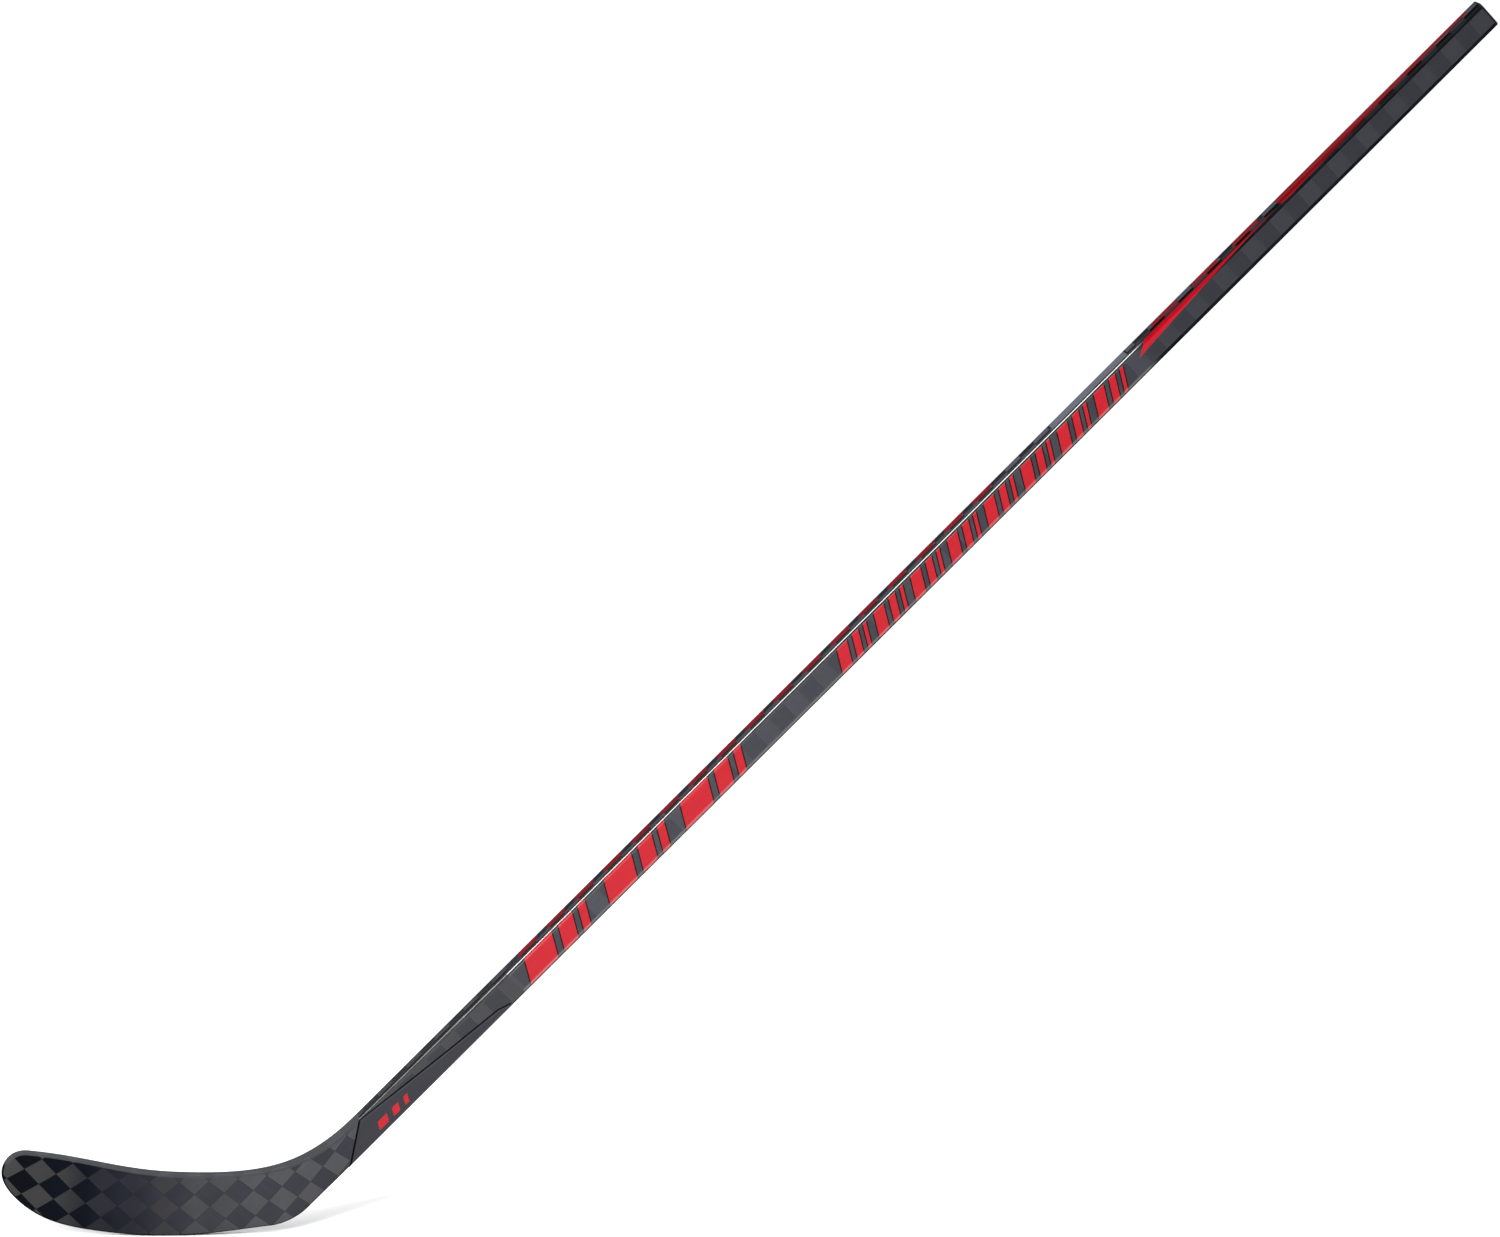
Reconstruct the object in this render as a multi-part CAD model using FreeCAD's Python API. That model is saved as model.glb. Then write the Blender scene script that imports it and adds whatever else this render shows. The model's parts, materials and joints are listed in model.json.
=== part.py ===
import FreeCAD, Part
import math
import os

# A left-handed ice hockey stick, in millimetres, in the pose it is played in: the blade's sole is level and runs
# toward -X, the shaft rises toward +X, and the blade curves toward +Y, which is the forehand side.
#
# Two working frames share one origin, the heel corner, where the line of the shaft's lower edge meets the ice.
# The blade frame is level. The shaft frame has X along the shaft and Z across it, in the plane of the stick.
# Every piece ends in the part's own frame, whose origin is the balance_rest mount.

Vector = FreeCAD.Vector
Y_AXIS = Vector(0, 1, 0)
BACKHAND = -1
FOREHAND = 1

# ---- shaft ----
SHAFT_ANGLE = 45.0            # rise of the shaft above the ice, which is lie 5
STICK_LENGTH = 1627.5         # heel corner to butt, along the shaft's lower edge
SHAFT_WIDTH = 29.0            # in the plane of the stick
SHAFT_THICK = 19.5            # across that plane
SHAFT_RADIUS = 5.0            # the four long corners
PLY = 0.3                     # outer spread-tow ply, on shaft and blade
TUBE_WALL = 1.0               # tube of unidirectional fibre under the ply

# ---- hosel, the taper between shaft and blade ----
HOSEL_TOP = 325.0             # the straight shaft starts here
HOSEL_SEAM = 109.4            # the slanted seam to the blade crosses the shaft's centre line here
SEAM_SLANT = 1.42             # its run along the shaft for each unit across
HOSEL_THICK_AT_SEAM = 15.0
TENON_DEPTH = 60.0            # length of the tenon inside the shaft tube
BOND_GAP = 0.15               # adhesive between tenon and tube
FOAM_DAM_LENGTH = 25.0
PATCH = 0.25                  # smooth reinforcing ply on the hosel

# ---- blade ----
BLADE_REACH = 262.0           # heel corner to toe tip, along the ice
EDGE_RADIUS = 2.4             # rounding all along the outline
HEEL_THICK = 9.0
TOE_THICK = 5.4
CURVE_START = 10.0            # straight for this distance from the heel corner
CURVE_AT_TOE = 38.0           # how far the toe stands off the plane of the stick
OPEN_START = 60.0             # the face starts to lean back here
OPEN_AT_TOE = 0.14            # lean of the face at the toe, as a slope
OPEN_HEIGHT = 36.0            # the face leans about this height
BAND_WIDTH = 4.0              # solid rim around the foam cores
SKIN = 0.8                    # laminate between ply and core
RIB_THICK = 2.5               # fibre rib between the two cores

# ---- butt end cap ----
CAP_FLANGE = 2.0
CAP_CHAMFER = 0.6
CAP_PLUG_DEPTH = 28.0
CAP_PLUG_WALL = 1.6
CAP_CLEARANCE = 0.25          # taken up by the crush ribs
CRUSH_RIB_WIDTH = 1.2

# ---- printed films ----
FILM = 0.05                   # one printed layer
KEY_LINE = 1.1                # dark line around each red bar
BAR_SLANT = 0.55              # run along the shaft for each unit across
BLOCK_STARTS = (341.0, 447.0, 549.0)
BLOCK_BARS = ((0.0, 36.0), (45.0, 18.0), (71.0, 9.0))
BLOCK_ACROSS = (-13.0, 12.7)
MARK_COUNT = 8
MARK_START = 758.0
MARK_PITCH = 49.0
MARK_BARS = ((0.0, 13.0), (20.0, 8.0), (34.5, 4.0))
MARK_ACROSS = (-12.0, 10.4)
LABEL = (1056.0, 1157.5, 7.2)

REST_PLACE = 587.0            # the balance_rest mount, from the heel corner
FAR = 400.0                   # more than the toe's distance from the shaft's line

SHAFT_WALL = PLY + TUBE_WALL
SHAFT_END = STICK_LENGTH - CAP_FLANGE
MID = SHAFT_WIDTH / 2
SEAM_LOW = HOSEL_SEAM - SEAM_SLANT * MID
SEAM_HIGH = HOSEL_SEAM + SEAM_SLANT * MID


# ---- frames ----

def shaft_point(along, across, y=0.0):
    """A point in the blade frame, given along the shaft and across it from its lower edge."""
    rise = math.radians(SHAFT_ANGLE)
    x = along * math.cos(rise) - across * math.sin(rise)
    z = along * math.sin(rise) + across * math.cos(rise)
    return Vector(x, y, z)


def to_blade_frame(shape):
    turned = shape.copy()
    turned.rotate(Vector(0, 0, 0), Y_AXIS, -SHAFT_ANGLE)
    return turned


# ---- sections across the shaft ----

def section(along, width, thick, radius):
    """A rounded rectangle across the shaft: four corners and four sides."""
    points = []
    for side_y, side_z, start in ((1, 1, 0), (-1, 1, 90), (-1, -1, 180), (1, -1, 270)):
        centre_y = side_y * (thick / 2 - radius)
        centre_z = MID + side_z * (width / 2 - radius)
        for turn in (0, 45, 90):
            angle = math.radians(start + turn)
            y = centre_y + radius * math.cos(angle)
            z = centre_z + radius * math.sin(angle)
            points.append(Vector(along, y, z))
    edges = []
    for corner in range(4):
        first, middle, last = points[3 * corner:3 * corner + 3]
        following = points[(3 * corner + 3) % 12]
        edges.append(Part.Arc(first, middle, last).toShape())
        edges.append(Part.LineSegment(last, following).toShape())
    return Part.Wire(edges)


def shaft_section(along, inset=0.0):
    """The shaft's section at a depth under its surface, or outside it if the depth is negative."""
    return section(along, SHAFT_WIDTH - 2 * inset, SHAFT_THICK - 2 * inset, SHAFT_RADIUS - inset)


def bar(start, end, inset):
    """A straight solid stretch of the shaft."""
    return Part.Face(shaft_section(start, inset)).extrude(Vector(end - start, 0, 0))


def tube(start, end, outer_inset, inner_inset):
    """A straight stretch of the shaft between two depths under its surface."""
    return bar(start, end, outer_inset).cut(bar(start, end, inner_inset))


def plate(points, y_low, y_high):
    """A flat plate in the shaft frame, on an outline of (along, across the shaft's centre line) points."""
    corners = [Vector(along, y_low, MID + across) for along, across in points]
    wire = Part.makePolygon(corners + corners[:1])
    return Part.Face(wire).extrude(Vector(0, y_high - y_low, 0))


# ---- shaft pieces ----

def shaft_pieces():
    bore = SHAFT_WALL
    dam_start = HOSEL_TOP + TENON_DEPTH
    return {
        "shaft_outer_ply": tube(HOSEL_TOP, SHAFT_END, 0, PLY),
        "shaft_tube": tube(HOSEL_TOP, SHAFT_END, PLY, bore),
        "shaft_foam_dam": bar(dam_start, dam_start + FOAM_DAM_LENGTH, bore),
        "butt_end_cap": butt_end_cap(),
    }


def butt_end_cap():
    """A moulded plug: a flange with a broken edge, a hollow spigot, and crush ribs that grip the bore."""
    flange = bar(SHAFT_END, STICK_LENGTH, 0)
    rim = [edge for edge in flange.Edges if abs(edge.CenterOfMass.x - STICK_LENGTH) < 0.01]
    flange = flange.makeChamfer(CAP_CHAMFER, rim)
    start = SHAFT_END - CAP_PLUG_DEPTH
    outer = SHAFT_WALL + CAP_CLEARANCE
    spigot = tube(start, SHAFT_END, outer, outer + CAP_PLUG_WALL)
    bore_width = SHAFT_WIDTH - 2 * SHAFT_WALL
    bore_thick = SHAFT_THICK - 2 * SHAFT_WALL
    half = CRUSH_RIB_WIDTH / 2
    ribs = []
    for across in (-bore_width / 4, bore_width / 4):
        rib = [(start, across - half), (SHAFT_END, across - half), (SHAFT_END, across + half),
               (start, across + half)]
        ribs.append(plate(rib, -bore_thick / 2, bore_thick / 2))
    across_bore = Part.makeBox(CAP_PLUG_DEPTH, CRUSH_RIB_WIDTH, bore_width)
    across_bore.translate(Vector(start, -half, MID - bore_width / 2))
    ribs.append(across_bore)
    hollow = bar(start, SHAFT_END, outer + CAP_PLUG_WALL)
    grip = [rib.cut(hollow) for rib in ribs]
    return flange.fuse([spigot] + grip).removeSplitter()


# ---- hosel pieces ----

def hosel_taper(along):
    """How far down the taper a place is: 0 at the straight shaft, 1 where the seam crosses."""
    return (HOSEL_TOP - along) / (HOSEL_TOP - HOSEL_SEAM)


def hosel_thick(along):
    return SHAFT_THICK - hosel_taper(along) * (SHAFT_THICK - HOSEL_THICK_AT_SEAM)


def hosel_loft(inset):
    """The tapered hosel, down past the seam, at a depth under its surface."""
    wires = []
    for along in (SEAM_LOW - 20, HOSEL_TOP):
        radius = SHAFT_RADIUS - hosel_taper(along) * (SHAFT_RADIUS - EDGE_RADIUS) - inset
        thick = hosel_thick(along) - 2 * inset
        wires.append(section(along, SHAFT_WIDTH - 2 * inset, thick, max(radius, 0.6)))
    return Part.makeLoft(wires, True, True)


def beyond_seam(towards_butt):
    """Everything on one side of the slanted seam between hosel and blade, in the shaft frame."""
    low = HOSEL_SEAM - SEAM_SLANT * FAR
    high = HOSEL_SEAM + SEAM_SLANT * FAR
    reach = 1000.0 if towards_butt else -1000.0
    return plate([(low, -FAR), (high, FAR), (high + reach, FAR), (low + reach, -FAR)], -FAR, FAR)


def side_plate(points, side):
    """A plate that reaches outward from the middle plane of the stick, on one side."""
    return plate(points, min(0, side * FAR), max(0, side * FAR))


def hosel_pieces():
    towards_butt = beyond_seam(True)
    outside = hosel_loft(0)
    inside = hosel_loft(SHAFT_WALL)
    tenon_end = HOSEL_TOP + TENON_DEPTH
    tenon_inset = SHAFT_WALL + BOND_GAP
    tenon = inside.common(towards_butt).fuse(bar(HOSEL_TOP, tenon_end, tenon_inset))
    pieces = {
        "hosel_sleeve": outside.cut(inside).common(towards_butt),
        "hosel_tenon": tenon,
        "hosel_bond_line": tube(HOSEL_TOP, tenon_end, SHAFT_WALL, tenon_inset),
    }
    # The patch runs from the seam up the lower edge, and ends in a long slanted scarf line.
    scarf = [(SEAM_LOW - 40, -FAR), (308.5, -FAR), (308.5, -10.6), (295.0, -5.8), (235.0, 0.5), (184.0, 6.4),
             (128.0, 13.2), (SEAM_LOW - 40, 13.2)]
    patch_layer = hosel_loft(-PATCH).cut(outside).common(towards_butt)
    film_layer = hosel_loft(-PATCH - FILM).cut(hosel_loft(-PATCH))
    slashes = [slanted_bar(start, length, -9.0, -1.5) for start, length in ((140, 12), (159, 8), (174, 5))]
    for side, name in ((BACKHAND, "backhand"), (FOREHAND, "forehand")):
        pieces["hosel_patch_" + name] = patch_layer.common(side_plate(scarf, side))
        marks = Part.makeCompound([side_plate(slash, side) for slash in slashes])
        pieces["hosel_print_" + name] = film_layer.common(marks)
    return pieces


# ---- blade pieces ----

def spline(points, start_direction, end_direction):
    curve = Part.BSplineCurve()
    curve.interpolate(Points=points, InitialTangent=start_direction, FinalTangent=end_direction)
    return curve.toShape()


def inset_edge(edge, distance):
    """A smooth edge moved into the blade by a distance, for an outline that runs heel, sole, toe, top."""
    samples = 24
    start, end = edge.ParameterRange
    points = []
    for step in range(samples + 1):
        place = start + (end - start) * step / samples
        tangent = edge.tangentAt(place)
        inward = Vector(tangent.z, 0, -tangent.x)
        points.append(edge.valueAt(place) + inward * distance)
    return spline(points, edge.tangentAt(start), edge.tangentAt(end))


def blade_outline(inset=0.0):
    """The closed outline of the blade, with a stub of hosel past the seam, at a distance inside its edge."""
    stub = SEAM_HIGH + 20
    heel_top = Vector(24, 0, 24)
    heel_end = Vector(-12, 0, 7.2)
    toe_top = Vector(-238, 0, 84.6)
    flare = shaft_point(SEAM_HIGH, SHAFT_WIDTH)
    down_shaft = Vector(-1, 0, -1)
    up_shaft = Vector(1, 0, 1)
    along_heel = Vector(-1, 0, -0.07)
    along_toe = Vector(1, 0, -0.08)
    sole = [heel_end, Vector(-60, 0, 2.6), Vector(-118, 0, 0), Vector(-175, 0, 4.2), Vector(-217, 0, 13.6),
            Vector(-248, 0, 34), Vector(-BLADE_REACH, 0, 63), Vector(-254, 0, 79.5), toe_top]
    top = [toe_top, Vector(-196, 0, 78.8), Vector(-130, 0, 66), Vector(-80, 0, 61.8), Vector(-30, 0, 62.4),
           Vector(8, 0, 69.8), Vector(47, 0, 91), flare]
    curves = [
        spline([heel_top, Vector(7, 0, 12.2), heel_end], down_shaft, along_heel),
        spline(sole, along_heel, along_toe),
        spline(top, along_toe, up_shaft),
    ]
    if inset:
        curves = [inset_edge(curve, inset) for curve in curves]
    lower_stub = shaft_point(stub, inset)
    upper_stub = shaft_point(stub, SHAFT_WIDTH - inset)
    first = curves[0].valueAt(curves[0].FirstParameter)
    last = curves[-1].valueAt(curves[-1].LastParameter)
    return Part.Wire([Part.LineSegment(lower_stub, first).toShape()] + curves + [
        Part.LineSegment(last, upper_stub).toShape(),
        Part.LineSegment(upper_stub, lower_stub).toShape(),
    ])


def blade_thick(along):
    """Thickness of hosel and blade, by distance from the heel corner in the shaft's direction."""
    heel_at = -20.0
    toe_at = -150.0
    if along > SEAM_LOW:
        return hosel_thick(along)
    if along > heel_at:
        share = (along - heel_at) / (SEAM_LOW - heel_at)
        return HEEL_THICK + share ** 2 * (3 - 2 * share) * (hosel_thick(SEAM_LOW) - HEEL_THICK)
    share = min((heel_at - along) / (heel_at - toe_at), 1.0)
    return HEEL_THICK - (HEEL_THICK - TOE_THICK) * math.sin(share * math.pi / 2)


def blade_middle(x, z):
    """How far the blade's middle surface stands off the plane of the stick: its curve, and its open face."""
    curve = max(0.0, (-x - CURVE_START) / (BLADE_REACH - CURVE_START))
    lean = max(0.0, (-x - OPEN_START) / (BLADE_REACH - OPEN_START))
    return CURVE_AT_TOE * curve ** 2 - OPEN_AT_TOE * lean ** 1.5 * (z - OPEN_HEIGHT)


def blade_face(side, depth=0.0):
    """One of the blade's large faces, drawn wider than the blade, at a depth under the surface."""
    columns = 36
    rows = 18
    low_x = -BLADE_REACH - 20
    high_x = 140.0
    low_z = -20.0
    high_z = 150.0
    grid = []
    for column in range(columns + 1):
        x = low_x + (high_x - low_x) * column / columns
        line = []
        for row in range(rows + 1):
            z = low_z + (high_z - low_z) * row / rows
            half = blade_thick((x + z) / math.sqrt(2)) / 2 - depth
            line.append(Vector(x, blade_middle(x, z) + side * half, z))
        grid.append(line)
    surface = Part.BSplineSurface()
    surface.interpolate(grid)
    return surface.toShape()


def blade_between(depth):
    """Everything between the blade's two faces, less a depth under each."""
    from_backhand = blade_face(BACKHAND, depth).extrude(Vector(0, FAR, 0))
    from_forehand = blade_face(FOREHAND, depth).extrude(Vector(0, -FAR, 0))
    return from_backhand.common(from_forehand)


def upright(wire):
    """A prism across the stick, on an outline in its plane."""
    face = Part.Face(wire)
    face.translate(Vector(0, -FAR, 0))
    return face.extrude(Vector(0, 2 * FAR, 0))


def rounded_body(outline):
    """The whole blade as one solid, with both edges of its outline rounded."""
    body = upright(outline).common(blade_between(0))
    faces = sorted(body.Faces, key=lambda face: face.Area)[-2:]
    stub = SEAM_HIGH + 19.9
    edges = []
    for face in faces:
        for edge in face.Edges:
            place = edge.valueAt((edge.FirstParameter + edge.LastParameter) / 2)
            if (place.x + place.z) / math.sqrt(2) < stub:
                edges.append(edge)
    return body.makeFillet(EDGE_RADIUS, edges)


def level_plate(points):
    """A plate across the stick on an outline of (x, z) points in the blade frame."""
    corners = [Vector(x, 0, z) for x, z in points]
    return upright(Part.makePolygon(corners + corners[:1]))


def blade_pieces():
    blade_side = to_blade_frame(beyond_seam(False))
    inner = upright(blade_outline(BAND_WIDTH)).common(blade_side)
    body = rounded_body(blade_outline()).common(blade_side)
    pieces = {"blade_edge_band": body.cut(inner)}
    for side, name in ((BACKHAND, "backhand"), (FOREHAND, "forehand")):
        outward = Vector(0, side, 0)
        ply = blade_face(side).extrude(outward * -PLY)
        skin = blade_face(side, PLY).extrude(outward * -SKIN)
        pieces["blade_ply_" + name] = inner.common(ply)
        pieces["blade_skin_" + name] = inner.common(skin)
    core = inner.common(blade_between(PLY + SKIN))
    # The rib follows the middle of the blade from the toe, and turns up into the hosel at the heel.
    rib_line = [(-BLADE_REACH - 20, 44), (-150, 32), (2, 32), (140, 161)]
    above = [(x, z + RIB_THICK) for x, z in rib_line]
    roof = [(140, 400), (-BLADE_REACH - 20, 400)]
    floor = [(140, -60), (-BLADE_REACH - 20, -60)]
    pieces["blade_core_rib"] = core.common(level_plate(rib_line + above[::-1]))
    pieces["blade_core_upper"] = core.common(level_plate(above + roof))
    pieces["blade_core_lower"] = core.common(level_plate(rib_line + floor))
    return pieces


# ---- printed films ----

def slanted_bar(start, length, low, high, grow=0.0):
    """A bar with ends that lean toward the butt, grown all round for its key line."""
    low -= grow
    high += grow
    start -= grow * 1.2
    end = start + length + 2.4 * grow
    return [(start + BAR_SLANT * low, low), (end + BAR_SLANT * low, low), (end + BAR_SLANT * high, high),
            (start + BAR_SLANT * high, high)]


def block_bars(grow=0.0):
    low, high = BLOCK_ACROSS
    bars = []
    for start in BLOCK_STARTS:
        for offset, length in BLOCK_BARS:
            bars.append(slanted_bar(start + offset, length, low, high, grow))
    return bars


def mark_bars(grow=0.0):
    low, high = MARK_ACROSS
    bars = []
    for number in range(MARK_COUNT):
        for offset, length in MARK_BARS:
            start = MARK_START + number * MARK_PITCH + offset
            bars.append(slanted_bar(start, length, low, high, grow))
    return bars


def film(outlines, side, layer):
    """Printed film on a wide face of the shaft and round its corners. Layer 0 lies on the ply, 1 on layer 0."""
    start = min(along for outline in outlines for along, across in outline) - 5
    end = max(along for outline in outlines for along, across in outline) + 5
    sheet = tube(start, end, -(layer + 1) * FILM, -layer * FILM)
    flat = SHAFT_THICK / 2 - SHAFT_RADIUS
    cutters = []
    for outline in outlines:
        cutters.append(plate(outline, min(side * flat, side * FAR), max(side * flat, side * FAR)))
    return sheet.common(Part.makeCompound(cutters))


def top_film(outlines):
    """Printed film on the shaft's upper narrow side, on outlines of (along, y) points."""
    start = min(along for outline in outlines for along, y in outline) - 5
    end = max(along for outline in outlines for along, y in outline) + 5
    sheet = tube(start, end, -FILM, 0)
    flat = SHAFT_WIDTH - SHAFT_RADIUS
    cutters = []
    for outline in outlines:
        corners = [Vector(along, y, flat) for along, y in outline]
        wire = Part.makePolygon(corners + corners[:1])
        cutters.append(Part.Face(wire).extrude(Vector(0, 0, FAR)))
    return sheet.common(Part.makeCompound(cutters))


def film_pieces():
    pieces = {}
    # A blade-like wedge that starts on the wide face and runs out along the shaft's corner.
    wedge = [(1162, 3.6), (1177.5, 13.3), (1352, 13.3), (1299, 11.6), (1249, 9.3)]
    for side, name in ((BACKHAND, "backhand"), (FOREHAND, "forehand")):
        pieces["key_lines_" + name] = film(block_bars(KEY_LINE) + mark_bars(KEY_LINE), side, 0)
        pieces["block_print_" + name] = film(block_bars(), side, 1)
        pieces["mark_print_" + name] = film(mark_bars(), side, 1)
        pieces["wedge_print_" + name] = film([wedge], side, 0)
    dash_half = 4.2
    dashes = [slanted_bar(start, 24, -dash_half, dash_half) for start in range(345, 990, 38)]
    pieces["top_dashes"] = top_film(dashes)
    slash_half = 4.6
    slashes = [slanted_bar(start, 34, -slash_half, slash_half) for start in (1192, 1246, 1300)]
    stripe = [(1358, -6.5), (1361, -8.6), (1372, -9.0), (1443, -7.5), (1515, -5.6), (1586, -1.8), (1614, -1.0),
              (1614, 7.5), (1372, 7.5), (1361, 6.0), (1358, 2.0)]
    pieces["top_stripe"] = top_film(slashes + [stripe])
    label_start, label_end, label_half = LABEL
    line = 1.6
    pieces["info_label"] = top_film([[(label_start, -label_half), (label_end - line, -label_half),
                                      (label_end - line, label_half), (label_start, label_half)]])
    pieces["label_end_line"] = top_film([[(label_end - line, -label_half), (label_end, -label_half),
                                          (label_end, label_half), (label_end - line, label_half)]])
    return pieces


def main():
    os.makedirs("parts", exist_ok=True)
    origin = shaft_point(REST_PLACE, 0)
    pieces = blade_pieces()
    for group in (shaft_pieces(), hosel_pieces(), film_pieces()):
        for name, shape in group.items():
            pieces[name] = to_blade_frame(shape)
    for name, shape in pieces.items():
        shape.translate(origin * -1)
        shape.exportStep("parts/" + name + ".step")
        print(name, len(shape.Solids), "solids", round(shape.Volume / 1000, 3), "cm3", shape.isValid())


main()
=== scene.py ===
import json
import math
from types import SimpleNamespace

import bpy
from mathutils import Matrix, Vector


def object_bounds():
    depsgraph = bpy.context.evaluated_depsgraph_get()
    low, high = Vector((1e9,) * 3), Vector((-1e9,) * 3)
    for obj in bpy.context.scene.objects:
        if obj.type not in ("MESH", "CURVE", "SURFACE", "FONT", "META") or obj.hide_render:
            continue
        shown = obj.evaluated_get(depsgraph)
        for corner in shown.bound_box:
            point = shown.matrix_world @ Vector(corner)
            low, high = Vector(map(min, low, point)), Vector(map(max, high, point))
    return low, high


# An ice hockey stick on a pale floor with a coved backdrop, under soft studio light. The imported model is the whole
# object: this script gives each of its pieces a procedural material, in coordinates that follow the stick.
#
# Shader lengths are in millimetres: along the shaft from the heel corner, across it from the centre line, and
# sideways from the middle plane of the stick (backhand negative, forehand positive).

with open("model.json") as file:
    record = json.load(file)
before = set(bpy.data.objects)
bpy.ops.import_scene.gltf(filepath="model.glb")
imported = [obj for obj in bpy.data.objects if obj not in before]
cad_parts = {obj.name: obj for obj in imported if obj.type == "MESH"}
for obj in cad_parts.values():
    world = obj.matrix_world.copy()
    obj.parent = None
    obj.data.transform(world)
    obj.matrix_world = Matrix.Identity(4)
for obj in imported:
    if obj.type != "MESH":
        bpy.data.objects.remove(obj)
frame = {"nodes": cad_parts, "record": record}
nodes = frame["nodes"]
cad_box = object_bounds()

HALF = math.sqrt(0.5)
ALONG = Vector((HALF, 0, HALF))
ACROSS = Vector((-HALF, 0, HALF))
SIDE = Vector((0, 1, 0))
BACKWARD = Vector((1, 0, 0))  # level, from the toe to the heel
UPWARD = Vector((0, 0, 1))
MILLIMETRES = 1000.0          # in one of the scene's units

# ---- the stick ----
REST_PLACE = 587.0            # the frame's origin, along the shaft from the heel corner, on its lower narrow side
HALF_WIDTH = 14.5
HEEL_TO_ORIGIN = REST_PLACE * HALF
BLADE_REACH = 262.0
HOSEL_SEAM = 109.4            # the slanted seam from hosel to blade crosses the shaft's centre line here
SEAM_SLANT = 1.42
HOSEL_TOP = 325.0
PATCH_EDGE = ((127.0, 13.6), (184.0, 6.4), (235.0, 0.5), (295.0, -5.8), (308.5, -10.6))    # along, across
PATCH_SPAN = 30.0             # the range across the shaft that this edge may lie in
GRIP_START = 1160.0           # above here the shaft has a duller grip coat, and its colour is darker
GRIP_FADE = 20.0
CORNER_GLOSS = 0.35           # the coat's extra refraction where it is thickest

# Where the shaft's zones begin: pairs that a smooth step goes between, from the centre line or the middle plane.
CORNER_ACROSS = (9.2, 10.0)
CORNER_SIDE = (3.8, 4.8)
NARROW_ACROSS = (13.8, 14.4)
PAINTED_SHADE_ACROSS = (-12.8, -11.6)
WRAP_SHADE_ACROSS = (9.5, 14.0)

# ---- the fabric ----
TOW = 19.08                   # width of one carbon tow
CELL_START = 691.2            # a joint between cells of the shaft
CELL_CORNER = (9.6, 4.4)      # across and sideways, where the row of cells on a wide side ends
CORNER_RUN = 1.31             # how fast the fibres' streaks go round the corner, for each unit sideways
NARROW_FADE = 60.0            # the length above the hosel in which the narrow sides' stronger contrast, a painted reflection, comes in
RIM_HEIGHT = (1.9, 2.15)      # in cells counted up the blade, where the painted highlight on its top rim comes in

# On the blade the fabric's rows follow an arc about a point above the ice: its distance behind the heel corner,
# its radius, the rows' turn from it, the two diagonals of a cell and where the cells start, as shares of a cell.
DRAPE_CENTRE = 248.0
DRAPE_RADIUS = 885.0
DRAPE_TURN = 0.40
DRAPE_LONG = 27.6
DRAPE_HIGH = 25.6
DRAPE_START = (-6.88, 2.78)

# ---- colours and gloss ----
# On the blade each is a list of (distance from the heel corner, colour). Their drift along the blade is a painted
# light and shade, for the curved blade's changing reflections: lightest at the heel and darkest past its middle.
BLADE_LIGHT = ((0, (0.048, 0.048, 0.053)), (80, (0.034, 0.034, 0.038)), (112, (0.021, 0.021, 0.025)),
               (145, (0.009, 0.010, 0.015)), (182, (0.008, 0.009, 0.013)), (222, (0.023, 0.023, 0.024)),
               (262, (0.027, 0.026, 0.027)))
BLADE_DARK = ((0, (0.027, 0.027, 0.034)), (80, (0.025, 0.025, 0.031)), (112, (0.017, 0.018, 0.024)),
              (145, (0.009, 0.010, 0.015)), (190, (0.001, 0.002, 0.005)), (262, (0.0005, 0.0008, 0.002)))
# The blade's rim: a painted highlight along the top, and a painted shade, near black, round the sole and the toe.
RIM_TOP_HIGHLIGHT = (0.038, 0.039, 0.044)
RIM_SOLE_SHADE = (0.002, 0.002, 0.003)
# The fabric's light and dark cells are one black carbon: the difference in their colours is partly a painted
# reflection, for the way each cell's fibres catch the light.
SHAFT_LIGHT, SHAFT_DARK = (0.016, 0.0165, 0.0255), (0.0095, 0.0105, 0.018)
HOSEL_LIGHT, HOSEL_DARK = (0.019, 0.019, 0.024), (0.009, 0.010, 0.015)
GLOSS_SHAFT = {"under": 0.42, "light": 0.2, "dark": 0.15, "coat": 0.6, "coat_rough": 0.03, "corner": 1.0}
GLOSS_HOSEL = {"under": 0.5, "light": 0.2, "dark": 0.15, "coat": 0.4, "coat_rough": 0.16, "corner": 0.4}
GLOSS_BLADE = {"under": 0.55, "light": 0.12, "dark": 0.04, "coat": 0.0, "coat_rough": 0.28, "corner": 0.0}

# ---- stage ----
PALE = (0.92, 0.92, 0.92)
FLOOR_REACH = 30.0
COVE_FOOT = 25.0
COVE_RADIUS = 3.0
BACKDROP_HEIGHT = 4.5
COVE_STEPS = 8
ROUND_STEPS = 64
STRIP_ANGLE = 49.0            # above the backhand side, square to the shaft
STRIP_DISTANCE = 3.0
STRIP_LENGTH = 3.6
STRIP_WIDTH = 0.75
STRIP_RADIANCE = 16.0
OVERHEAD_STRENGTH = 2.4
OVERHEAD_SPREAD = 70.0
WORLD_COLOUR = (0.97, 0.98, 1.0)
WORLD_STRENGTH = 0.35
CAMERA_ABOVE = 20.0           # above the backhand side, square to the shaft
SHAFT_IN_PICTURE = 44.85
CAMERA_DISTANCE = 5.4
CAMERA_LENS = 136.5
SENSOR_WIDTH = 36.0
CAMERA_REACH = 100.0
FOCUS = Vector((0.03143, 0.02917, 0.16526))


# ---- material graphs ----

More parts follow.
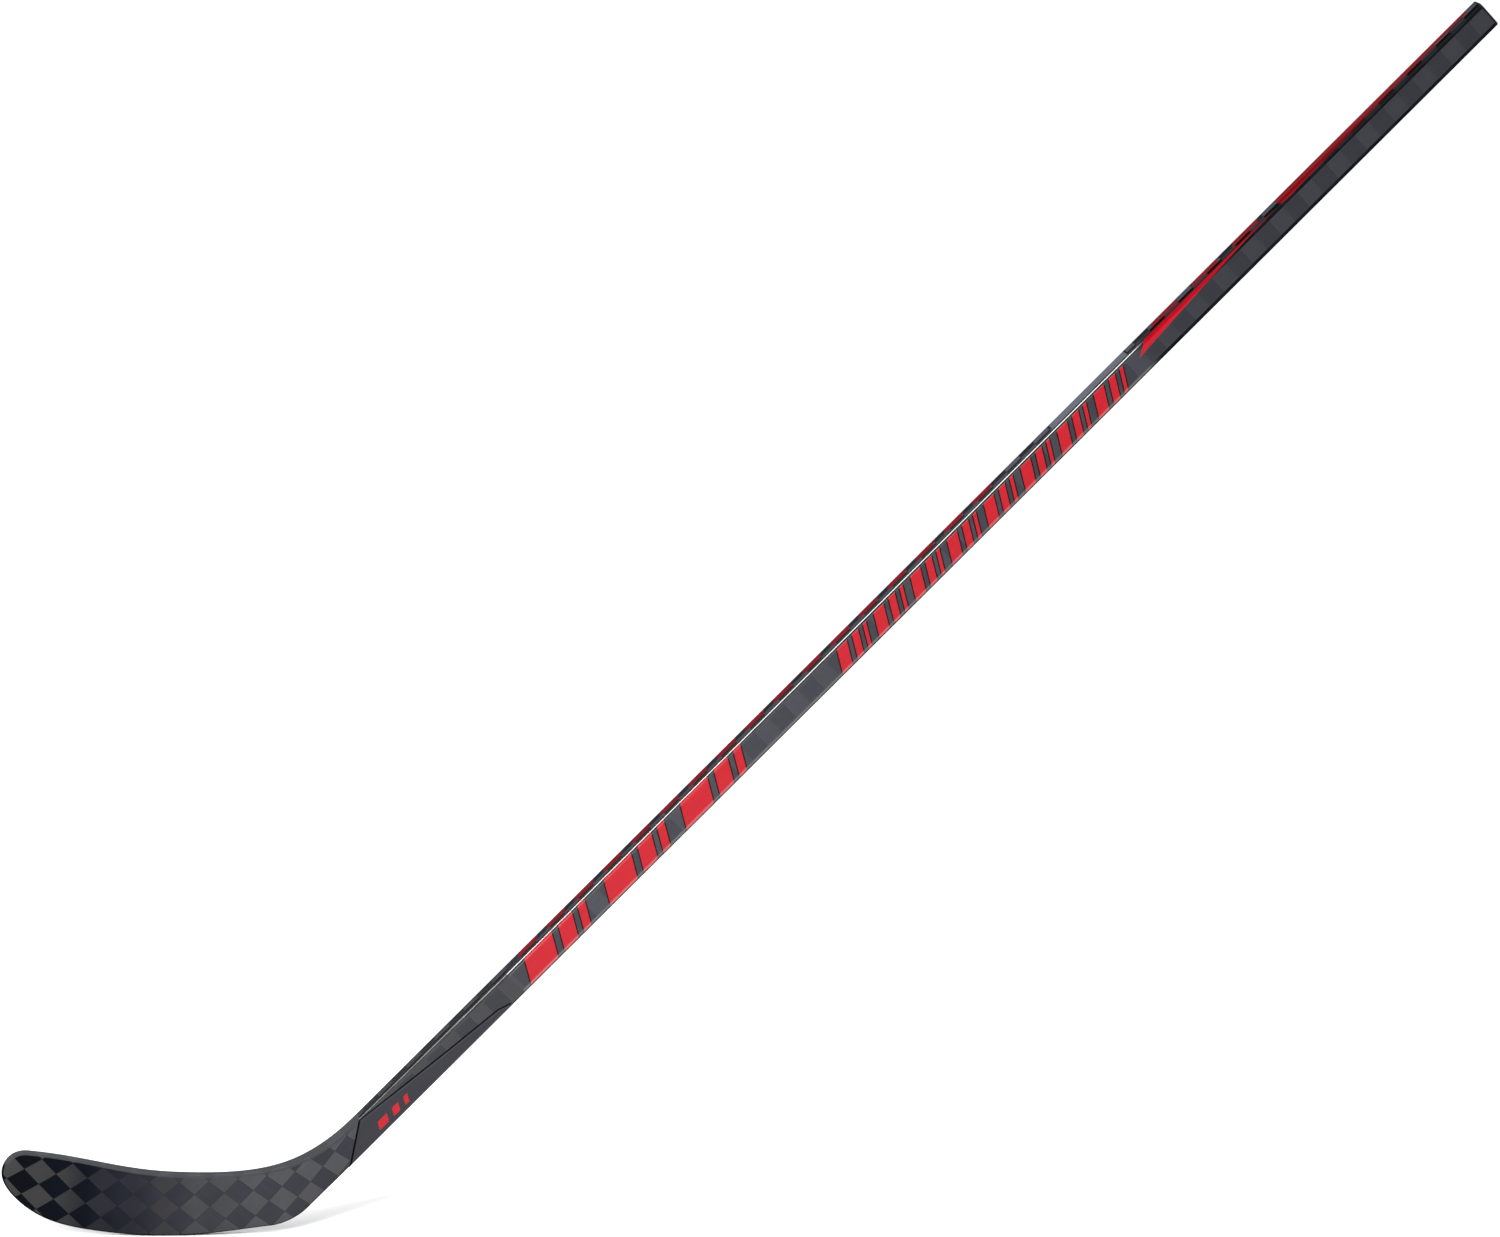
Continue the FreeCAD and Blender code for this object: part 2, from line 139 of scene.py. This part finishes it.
class Graph:
    """The nodes of one material, written as plain calls. A socket or a number can stand for any value."""

    def __init__(self, slot):
        self.slot = slot
        self.material = bpy.data.materials.new(slot)
        self.material.use_nodes = True
        self.tree = self.material.node_tree
        self.tree.nodes.clear()
        self.output = self.tree.nodes.new("ShaderNodeOutputMaterial")
        self.place = self.node("ShaderNodeTexCoord").outputs["Object"]
        self.normal = self.node("ShaderNodeNewGeometry").outputs["Normal"]
        self.along = self.add(self.measure(ALONG), REST_PLACE)
        self.across = self.add(self.measure(ACROSS), -HALF_WIDTH)
        self.side = self.measure(SIDE)

    def node(self, kind, **settings):
        made = self.tree.nodes.new(kind)
        for key, value in settings.items():
            setattr(made, key, value)
        return made

    def feed(self, socket, value):
        if isinstance(value, bpy.types.NodeSocket):
            self.tree.links.new(value, socket)
        elif isinstance(value, (tuple, list, Vector)) and len(socket.default_value) == 4:
            socket.default_value = (*value[:3], 1)
        else:
            socket.default_value = value

    def calc(self, operation, first, second=0.0):
        made = self.node("ShaderNodeMath", operation=operation)
        for socket, value in zip(made.inputs, (first, second)):
            self.feed(socket, value)
        return made.outputs[0]

    def add(self, first, second):
        return self.calc("ADD", first, second)

    def times(self, first, second):
        return self.calc("MULTIPLY", first, second)

    def invert(self, value):
        """1 less the value."""
        return self.calc("SUBTRACT", 1.0, value)

    def absolute(self, value):
        return self.calc("ABSOLUTE", value)

    def vector_calc(self, operation, first, second):
        made = self.node("ShaderNodeVectorMath", operation=operation)
        self.feed(made.inputs[0], first)
        self.feed(made.inputs[1], second)
        return made

    def dot(self, first, second):
        return self.vector_calc("DOT_PRODUCT", first, second).outputs["Value"]

    def cross(self, first, second):
        return self.vector_calc("CROSS_PRODUCT", first, second).outputs["Vector"]

    def measure(self, direction):
        """How far a point lies in a direction from the frame's origin."""
        return self.dot(self.place, direction * MILLIMETRES)

    def vector(self, x, y, z=0.0):
        made = self.node("ShaderNodeCombineXYZ")
        for socket, value in zip(made.inputs, (x, y, z)):
            self.feed(socket, value)
        return made.outputs[0]

    def ramp(self, value, low, high, from_value=0.0, to_value=1.0):
        """A smooth step from one value to another as its input goes from low to high."""
        made = self.node("ShaderNodeMapRange", interpolation_type="SMOOTHSTEP")
        for socket, number in zip(made.inputs, (value, low, high, from_value, to_value)):
            self.feed(socket, number)
        return made.outputs[0]

    def curve(self, value, low, high, points, between="EASE"):
        """A colour that follows a value through (value, colour) points."""
        made = self.node("ShaderNodeValToRGB")
        elements = made.color_ramp.elements
        made.color_ramp.interpolation = between
        while len(elements) < len(points):
            elements.new(0.5)
        for element, (place, colour) in zip(elements, points):
            element.position = (place - low) / (high - low)
            element.color = (*colour, 1)
        self.feed(made.inputs[0], self.calc("DIVIDE", self.add(value, -low), high - low))
        return made.outputs["Color"]

    def mix(self, share, first, second):
        made = self.node("ShaderNodeMix", data_type="RGBA")
        self.feed(made.inputs["Factor"], share)
        self.feed(made.inputs[6], first)
        self.feed(made.inputs[7], second)
        return made.outputs[2]

    def mix_vector(self, share, first, second):
        made = self.node("ShaderNodeMix", data_type="VECTOR")
        self.feed(made.inputs["Factor"], share)
        self.feed(made.inputs[4], first)
        self.feed(made.inputs[5], second)
        return made.outputs[1]

    def brighten(self, colour, amount):
        made = self.node("ShaderNodeVectorMath", operation="SCALE")
        self.feed(made.inputs[0], colour)
        self.feed(made.inputs["Scale"], amount)
        return made.outputs[0]

    def shade(self, colour, share, change):
        """A colour made lighter or darker by a change, as far as a share of it applies."""
        return self.brighten(colour, self.add(1.0, self.times(share, change)))

    def vary(self, colour, value, low, high, span):
        """A colour that drifts by a span either way, as a value goes from low to high."""
        return self.brighten(colour, self.ramp(value, low, high, 1 - span, 1 + span))

    def noise(self, where, scale, detail=2.0, roughness=0.5):
        made = self.node("ShaderNodeTexNoise")
        for name, value in (("Vector", where), ("Scale", scale), ("Detail", detail), ("Roughness", roughness)):
            self.feed(made.inputs[name], value)
        return made.outputs["Fac"]

    def bump(self, height, distance, strength=1.0, under=None):
        made = self.node("ShaderNodeBump")
        self.feed(made.inputs["Height"], height)
        self.feed(made.inputs["Distance"], distance)
        self.feed(made.inputs["Strength"], strength)
        if under:
            self.feed(made.inputs["Normal"], under)
        return made.outputs[0]

    def surface(self, colour, **inputs):
        """Finish the material, and give the slot it is for and itself."""
        made = self.node("ShaderNodeBsdfPrincipled")
        self.feed(made.inputs["Base Color"], colour)
        for name, value in inputs.items():
            self.feed(made.inputs[name.replace("_", " ")], value)
        self.tree.links.new(made.outputs[0], self.output.inputs["Surface"])
        return self.slot, self.material


# ---- zones of the shaft ----

def shaft_corner(graph):
    """1 round the shaft's four long corners, 0 on its flat sides."""
    return graph.times(graph.ramp(graph.absolute(graph.across), *CORNER_ACROSS),
                       graph.ramp(graph.absolute(graph.side), *CORNER_SIDE))


def painted_shade_corner(graph):
    """1 on the steep part of the shaft's two lower corners, which a painted shade darkens near black, with no coat
    or reflection.
    """
    return graph.times(shaft_corner(graph), graph.ramp(graph.across, *PAINTED_SHADE_ACROSS, 1.0, 0.0))


def narrow_side(graph):
    """1 on the shaft's two narrow sides."""
    return graph.ramp(graph.absolute(graph.across), *NARROW_ACROSS)


def grip_zone(graph):
    """1 on the upper shaft, where the grip coat is."""
    return graph.ramp(graph.along, GRIP_START, GRIP_START + GRIP_FADE)


# ---- the fabric ----

def shaft_cells(graph):
    """The fabric's cells on shaft and hosel, and the fibres' two directions. One row of cells fills a wide side, and
    the next lies round the corner. Round all four corners both kinds of cell are darkened as a painted shade; on the
    narrow sides the light cells are made lighter and the dark ones darker, a painted reflection."""
    corner = graph.times(graph.calc("GREATER_THAN", graph.absolute(graph.across), CELL_CORNER[0]),
                         graph.calc("GREATER_THAN", graph.absolute(graph.side), CELL_CORNER[1]))
    narrow = graph.times(graph.ramp(graph.absolute(graph.dot(graph.normal, ACROSS)), 0.8, 0.95),
                         graph.ramp(graph.along, HOSEL_TOP, HOSEL_TOP + NARROW_FADE))
    lengthwise = graph.vector(*ALONG)
    return SimpleNamespace(
        column=graph.calc("DIVIDE", graph.add(graph.along, -CELL_START), TOW),
        row=graph.add(corner, 0.5),
        around=graph.calc("DIVIDE", graph.add(graph.across, graph.times(graph.side, CORNER_RUN)), TOW),
        first=lengthwise,
        second=graph.cross(graph.normal, lengthwise),
        # Painted shade round the corners and painted reflection on the narrow sides: the cells' colours scaled down
        # or up.
        lit_shade=graph.add(1.0, graph.add(graph.times(corner, -0.75), graph.times(narrow, 1.3))),
        dark_shade=graph.add(1.0, graph.add(graph.times(corner, -0.85), graph.times(narrow, -0.8))))


def blade_cells(graph):
    """The fabric's cells on the blade, where it is laid on the bias and its rows follow an arc."""
    x = graph.add(graph.measure(BACKWARD), HEEL_TO_ORIGIN - DRAPE_CENTRE)
    z = graph.calc("SUBTRACT", DRAPE_RADIUS - HEEL_TO_ORIGIN, graph.measure(UPWARD))
    turn = graph.calc("ARCTAN2", x, z)
    arc = graph.times(turn, DRAPE_RADIUS)
    distance = graph.calc("SQRT", graph.add(graph.times(x, x), graph.times(z, z)))
    rise = graph.calc("SUBTRACT", DRAPE_RADIUS, distance)
    cos, sin = math.cos(DRAPE_TURN), math.sin(DRAPE_TURN)
    lengthwise = graph.calc("DIVIDE", graph.add(graph.times(arc, cos), graph.times(rise, sin)), DRAPE_LONG)
    upwards = graph.calc("DIVIDE", graph.add(graph.times(rise, cos), graph.times(arc, -sin)), DRAPE_HIGH)
    lengthwise = graph.add(lengthwise, -DRAPE_START[0])
    upwards = graph.add(upwards, -DRAPE_START[1])
    row = graph.calc("SUBTRACT", lengthwise, upwards)
    rising = graph.add(turn, DRAPE_TURN + math.pi / 4)
    cosine, sine = graph.calc("COSINE", rising), graph.calc("SINE", rising)
    return SimpleNamespace(
        column=graph.add(lengthwise, upwards),
        row=row,
        around=row,
        first=graph.vector(cosine, 0.0, sine),
        second=graph.vector(sine, 0.0, graph.times(cosine, -1.0)),
        lit_shade=1.0,
        dark_shade=1.0)


def spread_tow(graph, cells):
    """Spread-tow carbon: square cells, in turn of tows one way and tows the other. Gives the share of light cell,
    the fibres' streaks, the joints between tows, the tows' crown, a number for each cell and the fibres'
    direction."""
    column_number = graph.calc("FLOOR", cells.column)
    row_number = graph.calc("FLOOR", cells.row)
    odd = graph.calc("MODULO", graph.add(graph.add(column_number, row_number), 1000), 2)
    lit = graph.calc("LESS_THAN", odd, 0.5)

    # Distance from the nearest joint, as a share of a cell: 0 at a joint and 0.5 in the middle of a cell.
    nearest = graph.calc("MINIMUM", graph.calc("PINGPONG", cells.column, 0.5),
                         graph.calc("PINGPONG", cells.row, 0.5))

    def fibres(column_scale, around_scale):
        return graph.noise(graph.vector(graph.times(cells.column, column_scale),
                                        graph.times(cells.around, around_scale)), 1.0, 3.0, 0.65)

    cell = graph.node("ShaderNodeTexWhiteNoise", noise_dimensions="2D")
    graph.feed(cell.inputs["Vector"], graph.vector(column_number, row_number))
    return SimpleNamespace(
        lit=lit,
        streaks=graph.add(graph.times(fibres(0.4, 42.0), lit),
                          graph.times(fibres(42.0, 0.4), graph.invert(lit))),
        joint=graph.ramp(nearest, 0.006, 0.024, 1.0, 0.0),
        crown=graph.ramp(nearest, 0.0, 0.16),
        cell=cell.outputs["Value"],
        direction=graph.mix_vector(lit, cells.second, cells.first))


# ---- surfaces ----

def wear(graph):
    """Faint handling marks: fine hairlines along the shaft, and a soft uneven haze."""
    hairline = graph.noise(
        graph.vector(graph.add(graph.times(graph.along, 0.05), graph.times(graph.across, 0.03)),
                     graph.times(graph.across, 1.6), graph.times(graph.side, 1.6)), 1.0, 4.0, 0.7)
    haze = graph.noise(graph.vector(graph.times(graph.along, 0.012), graph.times(graph.across, 0.05),
                                    graph.times(graph.side, 0.05)), 1.0, 3.0, 0.55)
    return graph.ramp(hairline, 0.66, 0.78), haze


def shaft_coat(graph, colour, specular, weight, rough, corner_gloss):
    """The shaft's clear coat: smooth and thick round its corners, thinner on the narrow sides and on the corners in
    the grip zone, and left off the lower corners, where a painted shade darkens the colour near black. Gives the
    colour and reflection under it, and its own values."""
    grip, painted_shade = grip_zone(graph), painted_shade_corner(graph)
    unshaded = graph.invert(painted_shade)
    thin = graph.times(graph.add(1.0, graph.times(narrow_side(graph), -0.65)),
                       graph.add(1.0, graph.times(graph.times(grip, shaft_corner(graph)), -0.85)))
    thick = graph.times(graph.times(shaft_corner(graph), graph.invert(grip)), corner_gloss)
    weight = graph.add(weight, graph.add(graph.times(thick, 1.0 - weight),
                                         graph.times(grip, -0.3 * weight)))
    ripple = graph.times(graph.invert(thick), 0.5)
    # Painted shade: the lower corners darkened near black, and their coat and reflection taken away.
    return graph.shade(colour, painted_shade, -0.9), graph.times(graph.times(unshaded, thin), specular), {
        "Coat_Weight": graph.times(graph.times(weight, unshaded), thin),
        "Coat_Roughness": graph.add(rough, graph.times(grip, 0.4)),
        "Coat_IOR": graph.add(1.5, graph.times(thick, CORNER_GLOSS)),
        "Coat_Normal": graph.bump(graph.noise(graph.place, 220.0, 1.0), 0.00006, ripple)}


def carbon(slot, lay, light, dark, gloss, relief, rim=None):
    """A woven carbon surface. lay gives the fabric's cells. light and dark are colours, or functions that give them
    from the graph. rim paints a highlight and a shade into the colour, and changes its reflection, where the fabric
    doesn't show."""
    graph = Graph(slot)
    cells = lay(graph)
    weave = spread_tow(graph, cells)
    hairline, haze = wear(graph)
    light = light(graph) if callable(light) else light
    dark = dark(graph) if callable(dark) else dark
    # Light and dark cells: partly a painted reflection of the fibres catching the light.
    colour = graph.mix(weave.lit, graph.brighten(dark, cells.dark_shade),
                       graph.brighten(light, cells.lit_shade))
    colour = graph.vary(colour, weave.streaks, 0.25, 0.75, 0.14)
    colour = graph.vary(colour, weave.cell, 0.0, 1.0, 0.06)
    colour = graph.shade(colour, weave.joint, -0.3)
    colour = graph.vary(colour, haze, 0.3, 0.7, 0.05)
    normal = graph.bump(weave.crown, 0.00025 * relief, 0.6, graph.bump(weave.streaks, 0.00004, 0.35))
    rough = graph.add(graph.ramp(weave.streaks, 0.2, 0.8, gloss["under"] - 0.05, gloss["under"] + 0.05),
                      graph.times(hairline, 0.08))
    specular = graph.add(gloss["dark"], graph.times(weave.lit, gloss["light"] - gloss["dark"]))
    if rim:
        colour, specular = rim(graph, cells, colour, specular)
    coat_rough = graph.add(gloss["coat_rough"],
                           graph.add(graph.times(hairline, 0.12), graph.times(haze, 0.04)))
    coat = {"Coat_Weight": gloss["coat"], "Coat_Roughness": coat_rough}
    if gloss["corner"]:
        # Above GRIP_START the colour is darker by three tenths.
        colour = graph.shade(colour, grip_zone(graph), -0.3)
        colour, specular, coat = shaft_coat(graph, colour, specular, gloss["coat"], coat_rough, gloss["corner"])
    return graph.surface(colour, Roughness=rough, Anisotropic=0.6, Tangent=weave.direction, Normal=normal,
                         Specular_IOR_Level=specular, **coat)


def along_blade(points):
    """A colour that changes along the blade, from the heel corner to the toe: a painted light and shade."""
    return lambda graph: graph.curve(
        graph.calc("SUBTRACT", -HEEL_TO_ORIGIN, graph.measure(BACKWARD)), 0.0, BLADE_REACH, points)


def blade_rim(graph, cells, colour, specular):
    """The rim along the top of the blade is smooth and greyer, a painted highlight, and round the sole and the toe
    it is near black, a painted shade.
    """
    height = graph.times(graph.calc("SUBTRACT", cells.column, cells.row), 0.5)
    top = graph.ramp(height, *RIM_HEIGHT)
    edge = graph.invert(graph.absolute(graph.dot(graph.normal, SIDE)))
    # Painted shade: the rim near black round the sole and the toe, where it turns from the blade's sides; on the top
    # rim a painted highlight instead.
    painted_shade = graph.times(graph.ramp(edge, 0.03, 0.2), graph.invert(top))
    colour = graph.mix(painted_shade, graph.mix(top, colour, RIM_TOP_HIGHLIGHT), RIM_SOLE_SHADE)
    return colour, graph.times(specular, graph.invert(painted_shade))


def printed(slot, colour, deeper, rough, coat=0.0, specular=0.25, wrap_shade=0.0):
    """A plain piece, or ink under clear coat: a slight drift in its colour, fine grain and hairlines. wrapped is how
    much the ink is darkened, as a painted shade, where it goes round to the shaft's narrow side."""
    graph = Graph(slot)
    hairline, haze = wear(graph)
    drift = graph.noise(
        graph.vector(graph.times(graph.along, 0.02), graph.times(graph.across, 0.12)), 1.0, 2.0)
    grain = graph.noise(graph.place, 2600.0, 2.0, 0.6)
    body = graph.mix(graph.ramp(drift, 0.3, 0.75), colour, deeper)
    body = graph.vary(body, grain, 0.3, 0.7, 0.05)
    body = graph.shade(body, hairline, -0.06)
    if wrap_shade:
        # Painted shade: the ink darker round the upper corner and on the upper narrow side.
        body = graph.brighten(body, graph.ramp(graph.across, *WRAP_SHADE_ACROSS, 1.0, 1.0 - wrap_shade))
    layer = {"Coat_Weight": 0.0}
    if coat:
        coat_rough = graph.add(0.05, graph.times(haze, 0.05))
        body, specular, layer = shaft_coat(graph, body, specular, coat, coat_rough, 1.0)
    return graph.surface(body, Roughness=rough, Specular_IOR_Level=specular,
                         Normal=graph.bump(grain, 0.00002, 0.3), **layer)


def hosel_patch(slot, colour, deeper):
    """The smooth ply on the hosel. A dark line follows its slanted scarf and the seam: partly a dark joint, partly a
    painted shade at the step. Beside the scarf a light line is a painted highlight.
    """
    graph = Graph(slot)
    hairline, haze = wear(graph)
    greys = [(place, ((across + PATCH_SPAN / 2) / PATCH_SPAN,) * 3) for place, across in PATCH_EDGE]
    scarf = graph.curve(graph.along, PATCH_EDGE[0][0], PATCH_EDGE[-1][0], greys, "LINEAR")
    scarf = graph.add(graph.times(graph.dot(scarf, (1, 0, 0)), PATCH_SPAN), -PATCH_SPAN / 2)
    depth = graph.calc("SUBTRACT", scarf, graph.across)
    seam = graph.add(graph.along, graph.add(-HOSEL_SEAM, graph.times(graph.across, -SEAM_SLANT)))
    # Dark line at the scarf and seam: partly a dark joint, partly painted shade, with its gloss taken away.
    line = graph.calc("MAXIMUM", graph.ramp(depth, 0.9, 1.7, 1.0, 0.0),
                      graph.ramp(seam, 2.2, 3.6, 1.0, 0.0))
    # Painted highlight beside the scarf.
    glint = graph.times(graph.ramp(depth, 1.3, 1.9), graph.ramp(depth, 2.4, 3.2, 1.0, 0.0))
    grain = graph.noise(
        graph.vector(graph.times(graph.along, 0.05), graph.times(graph.across, 3.0)), 1.0, 3.0, 0.6)
    body = graph.mix(graph.ramp(haze, 0.3, 0.7), colour, deeper)
    body = graph.vary(body, grain, 0.25, 0.75, 0.08)
    body = graph.shade(body, glint, 0.9)
    body = graph.shade(body, line, -0.85)
    gloss = graph.times(graph.invert(line), 0.2)
    return graph.surface(body, Roughness=graph.add(0.5, graph.times(hairline, 0.1)), Specular_IOR_Level=gloss,
                         Coat_Weight=gloss, Coat_Roughness=0.25, Normal=graph.bump(grain, 0.00003, 0.4))


# The blade's colours drift along it as a painted light and shade.
blade_colours = along_blade(BLADE_LIGHT), along_blade(BLADE_DARK)
materials = dict((
    carbon("shaft_weave", shaft_cells, SHAFT_LIGHT, SHAFT_DARK, GLOSS_SHAFT, 1.0),
    carbon("hosel_weave", shaft_cells, HOSEL_LIGHT, HOSEL_DARK, GLOSS_HOSEL, 1.0),
    carbon("blade_weave", blade_cells, *blade_colours, GLOSS_BLADE, 0.8),
    carbon("edge_band", blade_cells, *blade_colours, GLOSS_BLADE, 0.8, blade_rim),
    printed("print_red", (0.36, 0.001, 0.009), (0.33, 0.001, 0.007), 0.35, 0.3, 0.1, wrap_shade=0.66),
    # print_deep_red is the same red ink darkened, a painted shade, for the ink on the shaft's narrow side.
    printed("print_deep_red", (0.15, 0.001, 0.006), (0.11, 0.001, 0.004), 0.35, 0.05, 0.05),
    printed("print_dark", (0.002, 0.002, 0.0025), (0.0015, 0.0015, 0.002), 0.4, 0.05, 0.05),
    printed("label_film", (0.070, 0.076, 0.095), (0.063, 0.069, 0.086), 0.3, 0.4),
    hosel_patch("hosel_patch", (0.013, 0.013, 0.0185), (0.011, 0.011, 0.016)),
    printed("cap_plastic", (0.004, 0.004, 0.005), (0.003, 0.003, 0.004), 0.5, specular=0.1),
    printed("fibre_inside", (0.02, 0.02, 0.022), (0.015, 0.015, 0.016), 0.6),
    printed("tenon_core", (0.30, 0.25, 0.16), (0.26, 0.21, 0.13), 0.8),
    printed("foam", (0.62, 0.57, 0.45), (0.55, 0.50, 0.39), 0.9),
    printed("adhesive", (0.22, 0.19, 0.09), (0.18, 0.15, 0.07), 0.3),
))

for entry in frame["record"]["subparts"]:
    node = nodes[entry["node"]]
    node.data.materials.clear()
    node.data.materials.append(materials[entry["material_slot"]])


# ---- floor, light and camera ----

def put_in_scene(name, data):
    thing = bpy.data.objects.new(name, data)
    bpy.context.scene.collection.objects.link(thing)
    return thing


def stage_mesh(name, points, faces, material):
    mesh = bpy.data.meshes.new(name)
    mesh.from_pydata(points, [], faces)
    mesh.materials.append(material)
    return put_in_scene(name, mesh)


def aimed(right, up, back):
    """The turn of a light or camera that looks against its back direction."""
    return Matrix((right, up, back)).transposed().to_4x4()


def square_to_shaft(degrees):
    """A direction square to the shaft, by its angle above the backhand side's own direction."""
    angle = math.radians(degrees)
    return -SIDE * math.cos(angle) + ACROSS * math.sin(angle)


low, high = cad_box
pale = bpy.data.materials.new("pale_floor")
pale.use_nodes = True
for socket, value in (("Base Color", (*PALE, 1)), ("Roughness", 0.9), ("Specular IOR Level", 0.1)):
    pale.node_tree.nodes["Principled BSDF"].inputs[socket].default_value = value

square = [(x * FLOOR_REACH, y * FLOOR_REACH, low.z) for x, y in ((-1, -1), (1, -1), (1, 1), (-1, 1))]
floor = stage_mesh("floor", square, [(0, 1, 2, 3)], pale)

# Far out, a low backdrop rises from the floor all round, with a coved foot.
quarter = [math.radians(90) * step / COVE_STEPS for step in range(COVE_STEPS + 1)]
profile = [(COVE_FOOT + COVE_RADIUS * math.sin(turn), COVE_RADIUS * (1 - math.cos(turn))) for turn in quarter]
profile.append((COVE_FOOT + COVE_RADIUS, BACKDROP_HEIGHT))
rows = len(profile)
points, faces = [], []
for step in range(ROUND_STEPS):
    turn = math.tau * step / ROUND_STEPS
    points += [(radius * math.cos(turn), radius * math.sin(turn), low.z + height) for radius, height in profile]
    here, beyond = step * rows, (step + 1) % ROUND_STEPS * rows
    faces += [(here + row, beyond + row, beyond + row + 1, here + row + 1) for row in range(rows - 1)]
backdrop = stage_mesh("backdrop", points, faces, pale)
backdrop.data.shade_smooth()

# A long strip beside the stick draws the bright line along the shaft's upper corner.
strip_data = bpy.data.lights.new("key_strip", "AREA")
strip_data.shape = "RECTANGLE"
strip_data.size = STRIP_WIDTH
strip_data.size_y = STRIP_LENGTH
strip_data.energy = STRIP_RADIANCE * math.pi * STRIP_LENGTH * STRIP_WIDTH
strip = put_in_scene("key_strip", strip_data)
back = square_to_shaft(STRIP_ANGLE)
strip.matrix_world = Matrix.Translation((low + high) / 2 + back * STRIP_DISTANCE) @ aimed(
    ALONG.cross(back), ALONG, back)
strip.visible_camera = False

# A wide soft light overhead keeps the floor bright, and dim surroundings keep the stick's reflections dark.
overhead_data = bpy.data.lights.new("overhead", "SUN")
overhead_data.energy = OVERHEAD_STRENGTH
overhead_data.angle = math.radians(OVERHEAD_SPREAD)
put_in_scene("overhead", overhead_data)

world = bpy.data.worlds.new("studio")
world.use_nodes = True
world.node_tree.nodes["Background"].inputs["Color"].default_value = (*WORLD_COLOUR, 1)
world.node_tree.nodes["Background"].inputs["Strength"].default_value = WORLD_STRENGTH
bpy.context.scene.world = world
bpy.context.scene.view_settings.view_transform = "Standard"

# The camera looks square at the shaft from a little above its wide side, and is turned so that the shaft rises
# across the picture from corner to corner.
view = square_to_shaft(CAMERA_ABOVE)
over = ACROSS * math.cos(math.radians(CAMERA_ABOVE)) + SIDE * math.sin(math.radians(CAMERA_ABOVE))
turn = math.radians(SHAFT_IN_PICTURE)
right = ALONG * math.cos(turn) - over * math.sin(turn)
up = ALONG * math.sin(turn) + over * math.cos(turn)
camera_data = bpy.data.cameras.new("camera")
camera_data.sensor_width = SENSOR_WIDTH
camera_data.lens = CAMERA_LENS
camera_data.clip_end = CAMERA_REACH
camera = put_in_scene("camera", camera_data)
camera.matrix_world = Matrix.Translation(FOCUS + view * CAMERA_DISTANCE) @ aimed(right, up, view)
bpy.context.scene.camera = camera
